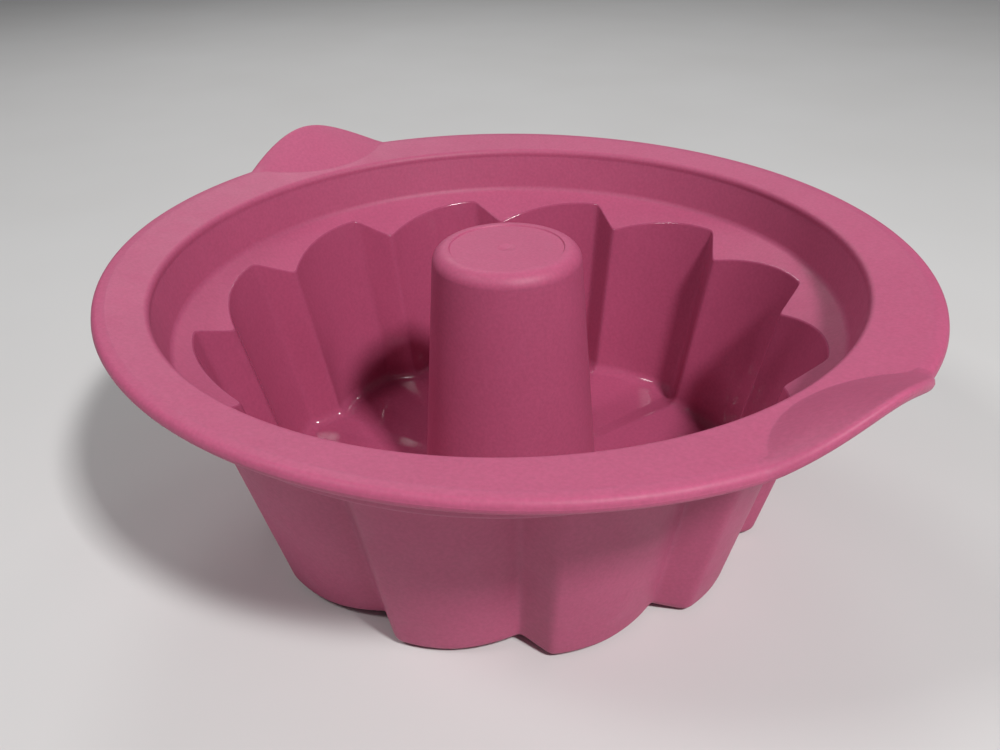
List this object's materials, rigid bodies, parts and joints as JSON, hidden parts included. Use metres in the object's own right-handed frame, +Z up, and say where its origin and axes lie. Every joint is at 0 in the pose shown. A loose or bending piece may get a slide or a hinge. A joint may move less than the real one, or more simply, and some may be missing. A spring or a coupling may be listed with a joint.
{
  "type": "ring cake mould",
  "caption": "Round fluted silicone ring cake mould with a closed centre tube, a stepped ledge and a wide rim with two upturned thumb tabs.",
  "frame": {"origin": "on the ground under the centre of the tube", "axes": "+Z up along the tube, X through the two thumb tabs, Y across them"},
  "size_m": [0.2758, 0.251, 0.104],
  "materials": {
    "silicone_satin": "satin",
    "silicone_gloss": "gloss"
  },
  "bodies": {
    "root": {"centre_tube": "silicone_satin", "collar": "silicone_satin", "floor_petal_01": "silicone_gloss", "floor_petal_02": "silicone_gloss", "floor_petal_03": "silicone_gloss", "floor_petal_04": "silicone_gloss", "floor_petal_05": "silicone_gloss", "floor_petal_06": "silicone_gloss", "floor_petal_07": "silicone_gloss", "floor_petal_08": "silicone_gloss", "floor_petal_09": "silicone_gloss", "floor_petal_10": "silicone_gloss", "floor_petal_11": "silicone_gloss", "floor_petal_12": "silicone_gloss", "flute_01": "silicone_gloss", "flute_02": "silicone_gloss", "flute_03": "silicone_gloss", "flute_04": "silicone_gloss", "flute_05": "silicone_gloss", "flute_06": "silicone_gloss", "flute_07": "silicone_gloss", "flute_08": "silicone_gloss", "flute_09": "silicone_gloss", "flute_10": "silicone_gloss", "flute_11": "silicone_gloss", "flute_12": "silicone_gloss", "ledge": "silicone_satin", "rim_flange": "silicone_satin", "rim_lip_back": "silicone_satin", "rim_lip_front": "silicone_satin", "tab_lip_left": "silicone_satin", "tab_lip_right": "silicone_satin", "thumb_tab_left": "silicone_satin", "thumb_tab_right": "silicone_satin", "tube_cap": "silicone_satin"}
  },
  "joints": []
}
